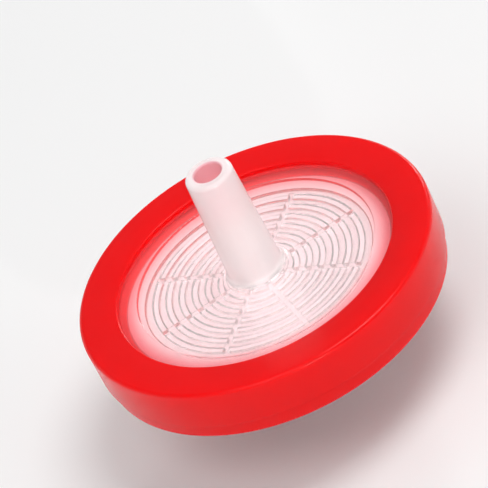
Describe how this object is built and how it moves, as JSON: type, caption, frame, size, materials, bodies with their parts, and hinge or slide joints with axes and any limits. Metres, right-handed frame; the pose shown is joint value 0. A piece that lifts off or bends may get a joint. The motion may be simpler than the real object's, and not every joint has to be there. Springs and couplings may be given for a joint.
{
  "type": "syringe filter",
  "caption": "Round disc filter for a syringe: clear shells in a red moulded ring, female luer lock inlet on one side, male luer slip outlet on the other.",
  "frame": {"origin": "centre of the inlet's mouth, in the plane of its rim, on which the filter stands", "axes": "+Z along the flow, from the inlet to the outlet tip; +X through one lug of the luer lock"},
  "size_m": [0.03, 0.03, 0.0223],
  "materials": {
    "clear_shell": "natural polypropylene, injection moulded, clear and slightly milky",
    "membrane": "white PTFE film, matte",
    "ring": "red polypropylene, injection moulded, glossy"
  },
  "bodies": {
    "root": {"inlet_shell": "clear_shell", "membrane": "membrane", "outlet_shell": "clear_shell", "overmould_ring": "ring"}
  },
  "joints": []
}
